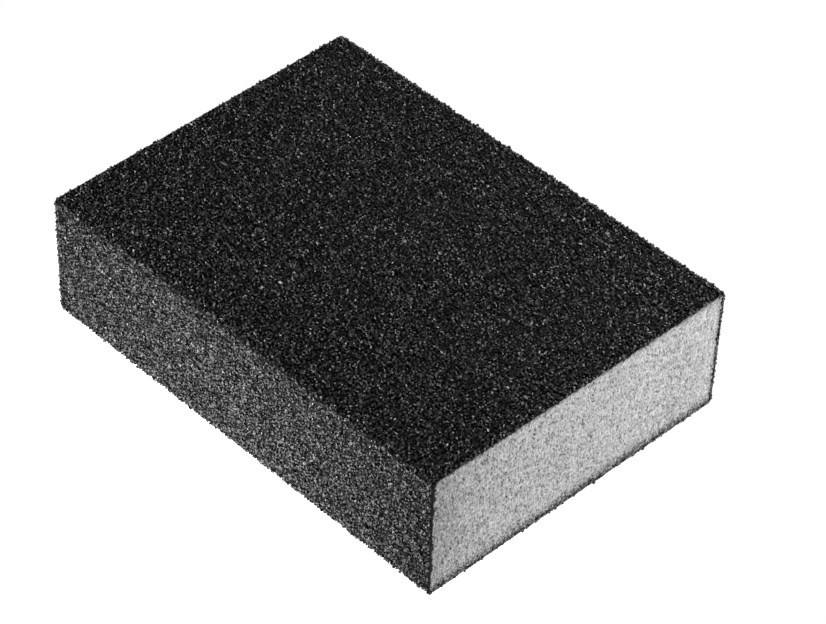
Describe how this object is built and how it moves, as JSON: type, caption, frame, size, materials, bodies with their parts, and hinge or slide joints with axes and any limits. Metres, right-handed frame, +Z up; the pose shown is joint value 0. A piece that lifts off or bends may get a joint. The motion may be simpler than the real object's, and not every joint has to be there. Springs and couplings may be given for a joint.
{
  "type": "sanding block",
  "caption": "Rectangular flexible foam sanding block, coated with coarse abrasive grit on both large faces and both long edges, with bare cut ends.",
  "frame": {"origin": "middle of the bottom working face, which the block rests on", "axes": "+X along the block from one bare end to the other, +Y from the front working edge to the rear one, +Z up from the bottom working face to the top one"},
  "size_m": [0.096, 0.07, 0.0265],
  "materials": {
    "foam": "matte open-cell foam",
    "make_coat": "satin cured resin",
    "size_coat": "semi-gloss cured resin",
    "grit": "black grains with glassy facets"
  },
  "bodies": {
    "root": {"foam_core": "foam", "top_make_coat": "make_coat", "bottom_make_coat": "make_coat", "front_make_coat": "make_coat", "rear_make_coat": "make_coat", "top_size_coat": "size_coat", "bottom_size_coat": "size_coat", "front_size_coat": "size_coat", "rear_size_coat": "size_coat", "top_grit": "grit", "bottom_grit": "grit", "front_grit": "grit", "rear_grit": "grit"}
  },
  "joints": []
}
